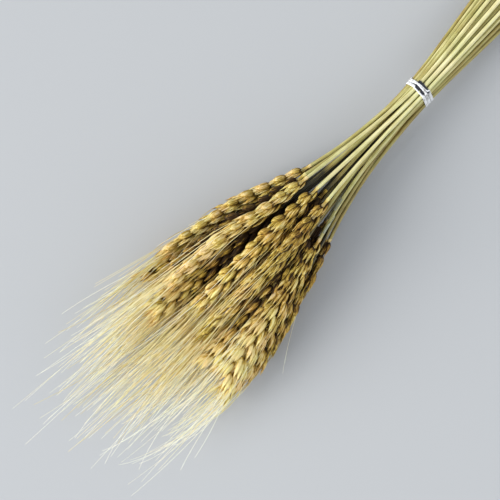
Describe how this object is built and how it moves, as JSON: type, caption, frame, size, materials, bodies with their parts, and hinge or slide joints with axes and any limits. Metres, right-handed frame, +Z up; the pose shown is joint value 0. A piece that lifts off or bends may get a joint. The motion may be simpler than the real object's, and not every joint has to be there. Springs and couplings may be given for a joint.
{
  "type": "bunch of dried bearded wheat",
  "caption": "Tied bunch of dried bearded wheat ears with long awns on straw stems, lying on its side.",
  "frame": {"origin": "centre of the bounding box's floor, so the bunch rests on z = 0", "axes": "+X along the stems towards their cut ends, +Z up, the ears and awns point to -X"},
  "size_m": [0.3982, 0.0864, 0.0358],
  "materials": {
    "straw": "satin",
    "ear": "matte",
    "tie": "gloss"
  },
  "bodies": {
    "root": {"stem_01": "straw", "stem_02": "straw", "stem_03": "straw", "stem_04": "straw", "stem_05": "straw", "stem_06": "straw", "stem_07": "straw", "stem_08": "straw", "stem_09": "straw", "stem_10": "straw", "stem_11": "straw", "stem_12": "straw", "stem_13": "straw", "stem_14": "straw", "stem_15": "straw", "stem_16": "straw", "stem_17": "straw", "stem_18": "straw", "stem_19": "straw", "stem_20": "straw", "stem_21": "straw", "stem_22": "straw", "stem_23": "straw", "stem_24": "straw", "stem_25": "straw", "ear_01": "ear", "ear_02": "ear", "ear_03": "ear", "ear_04": "ear", "ear_05": "ear", "ear_06": "ear", "ear_07": "ear", "ear_08": "ear", "ear_09": "ear", "ear_10": "ear", "ear_11": "ear", "ear_12": "ear", "ear_13": "ear", "ear_14": "ear", "ear_15": "ear", "ear_16": "ear", "ear_17": "ear", "ear_18": "ear", "ear_19": "ear", "ear_20": "ear", "ear_21": "ear", "ear_22": "ear", "ear_23": "ear", "ear_24": "ear", "ear_25": "ear", "tie": "tie"}
  },
  "joints": []
}
